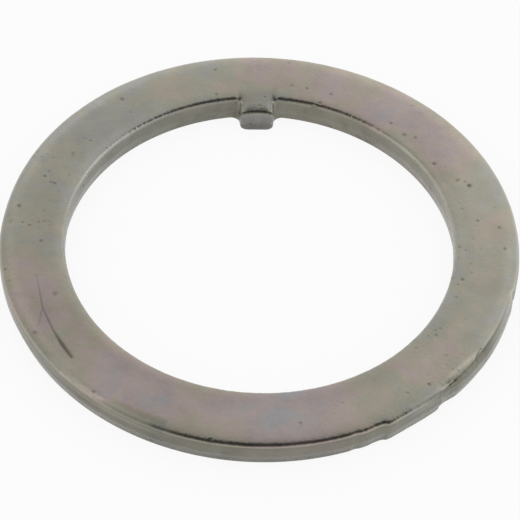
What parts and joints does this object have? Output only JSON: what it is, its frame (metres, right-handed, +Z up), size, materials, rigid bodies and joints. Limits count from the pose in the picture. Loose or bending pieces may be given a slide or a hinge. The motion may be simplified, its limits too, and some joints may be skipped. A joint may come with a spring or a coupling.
{
  "type": "tabbed sealing ring",
  "caption": "Flat stamped steel sealing ring with a locating tongue in its bore, rolled-over edges on one face, zinc plated.",
  "frame": {"origin": "on the bore axis, in the plane of the sharp face that the ring lies on", "axes": "+Z up along the bore axis through the face with the rolled-over edges, +Y from the axis towards the tongue"},
  "size_m": [0.068, 0.068, 0.004],
  "materials": {
    "zinc_plated_steel": "satin"
  },
  "bodies": {
    "root": {"ring": "zinc_plated_steel"}
  },
  "joints": []
}
